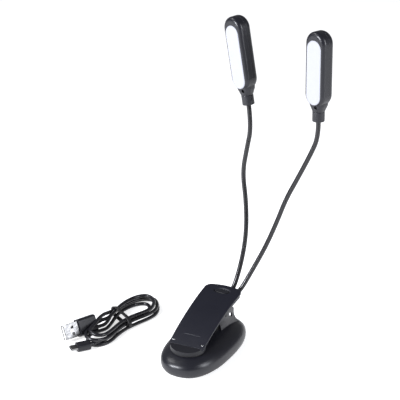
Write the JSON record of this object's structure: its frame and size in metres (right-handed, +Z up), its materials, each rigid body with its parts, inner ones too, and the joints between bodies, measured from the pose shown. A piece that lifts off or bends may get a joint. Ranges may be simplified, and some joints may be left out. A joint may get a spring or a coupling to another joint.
{
  "type": "clip-on reading lamp",
  "caption": "Rechargeable clip-on reading lamp: pebble base with a sprung lever jaw, flexible necks carrying slim light heads, and its tied USB charging cable alongside",
  "frame": {"origin": "on the surface the lamp stands on, under the middle of its foot", "axes": "+Z up; -Y the front, where the jaw opens; +X the lamp's right seen from behind"},
  "size_m": [0.1798, 0.1384, 0.252],
  "materials": {
    "shell_black": "satin black moulding",
    "cover_black": "polished black moulding",
    "inner_plastic": "unpolished black moulding",
    "rubber_black": "soft matt rubber",
    "neck_coat": "wound steel under a thin black coat",
    "steel": "plain steel",
    "dark_steel": "blackened steel",
    "plug_steel": "nickel-plated pressed steel",
    "battery_foil": "pouch foil",
    "board_green": "circuit board",
    "led_yellow": "phosphor",
    "diffuser_white": "milky light diffuser",
    "wire_red": "wire insulation",
    "cable_black": "soft PVC jacket",
    "tongue_white": "contact carrier"
  },
  "bodies": {
    "base": {"base_top_shell": "shell_black", "base_plate": "inner_plastic", "base_screws": "steel", "rubber_foot": "rubber_black", "battery_cell": "battery_foil", "battery_leads": "wire_red", "charge_board": "board_green", "usb_socket": "plug_steel", "lower_jaw_pad": "rubber_black", "hinge_pin": "dark_steel", "torsion_spring": "steel", "hinge_wire_lower": "wire_red"},
    "lever": {"lever_body": "inner_plastic", "lever_cover": "cover_black", "upper_jaw_pad": "rubber_black", "switch_board": "board_green", "tact_switch": "inner_plastic", "neck_clamp": "inner_plastic", "clamp_screw": "steel", "left_neck_boot": "rubber_black", "right_neck_boot": "rubber_black", "hinge_wire_upper": "wire_red", "left_neck_root": "neck_coat", "right_neck_root": "neck_coat"},
    "button": {"power_button": "inner_plastic"},
    "charging_cable": {"usb_plug_shell": "plug_steel", "usb_plug_tongue": "tongue_white", "usb_plug_moulding": "cable_black", "micro_plug_shell": "plug_steel", "micro_plug_moulding": "cable_black", "usb_cable_lead": "cable_black", "usb_cable_hank": "cable_black", "hank_tie": "cable_black"},
    "left_lower_neck": {"left_neck_lower": "neck_coat"},
    "left_middle_neck": {"left_neck_middle": "neck_coat"},
    "left_upper_neck": {"left_neck_upper": "neck_coat"},
    "left_head": {"left_neck_tip": "neck_coat", "left_head_front": "shell_black", "left_head_back": "shell_black", "left_diffuser": "diffuser_white", "left_led_board": "board_green", "left_leds": "led_yellow", "left_head_screw": "dark_steel", "left_head_collar": "shell_black"},
    "right_lower_neck": {"right_neck_lower": "neck_coat"},
    "right_middle_neck": {"right_neck_middle": "neck_coat"},
    "right_upper_neck": {"right_neck_upper": "neck_coat"},
    "right_head": {"right_neck_tip": "neck_coat", "right_head_front": "shell_black", "right_head_back": "shell_black", "right_diffuser": "diffuser_white", "right_led_board": "board_green", "right_leds": "led_yellow", "right_head_screw": "dark_steel", "right_head_collar": "shell_black"}
  },
  "joints": [
    {"name": "clamp_lever", "type": "hinge", "parent": "base", "child": "lever", "pos_m": [0, 0.017, 0.0285], "axis": [-1, 0, 0], "range_deg": [0, 20], "stiffness_Nm_per_rad": 0.43, "springref_deg": -33.23},
    {"name": "button_press", "type": "slide", "parent": "lever", "child": "button", "axis": [0, 0.165, -0.9863], "range_m": [0, 0.0004], "stiffness_N_per_m": 1000, "springref_m": -0.0008},
    {"name": "left_neck_swing", "type": "hinge", "parent": "lever", "child": "left_lower_neck", "pos_m": [0.0017, 0.0577, 0.0455], "axis": [0, -1, 0], "range_deg": [-5, 30]},
    {"name": "left_neck_bend", "type": "hinge", "parent": "left_lower_neck", "child": "left_middle_neck", "pos_m": [0.00245, 0.07, 0.09075], "axis": [1, 0, 0], "range_deg": [-30, 30]},
    {"name": "left_neck_upper_bend", "type": "hinge", "parent": "left_middle_neck", "child": "left_upper_neck", "pos_m": [-0.0025, 0.07615, 0.136], "axis": [1, 0, 0], "range_deg": [-30, 30]},
    {"name": "left_head_nod", "type": "hinge", "parent": "left_upper_neck", "child": "left_head", "pos_m": [0, 0.0796, 0.1729], "axis": [1, 0, 0], "range_deg": [-40, 40]},
    {"name": "right_neck_swing", "type": "hinge", "parent": "lever", "child": "right_lower_neck", "pos_m": [0.01055, 0.05685, 0.04325], "axis": [0, 1, 0], "range_deg": [-5, 15]},
    {"name": "right_neck_bend", "type": "hinge", "parent": "right_lower_neck", "child": "right_middle_neck", "pos_m": [0.02565, 0.06805, 0.0805], "axis": [1, 0, 0], "range_deg": [-30, 30]},
    {"name": "right_neck_upper_bend", "type": "hinge", "parent": "right_middle_neck", "child": "right_upper_neck", "pos_m": [0.04835, 0.07675, 0.13875], "axis": [1, 0, 0], "range_deg": [-30, 30]},
    {"name": "right_head_nod", "type": "hinge", "parent": "right_upper_neck", "child": "right_head", "pos_m": [0.05825, 0.07965, 0.17045], "axis": [1, 0, 0], "range_deg": [-40, 40]},
    {"name": "cable_lift", "type": "slide", "parent": "base", "child": "charging_cable", "axis": [0, 0, 1], "range_m": [0, 0.1]}
  ],
  "couplings": [
    {"joint": "left_neck_upper_bend", "follows": "left_neck_bend", "ratio": 1},
    {"joint": "right_neck_upper_bend", "follows": "right_neck_bend", "ratio": 1}
  ]
}
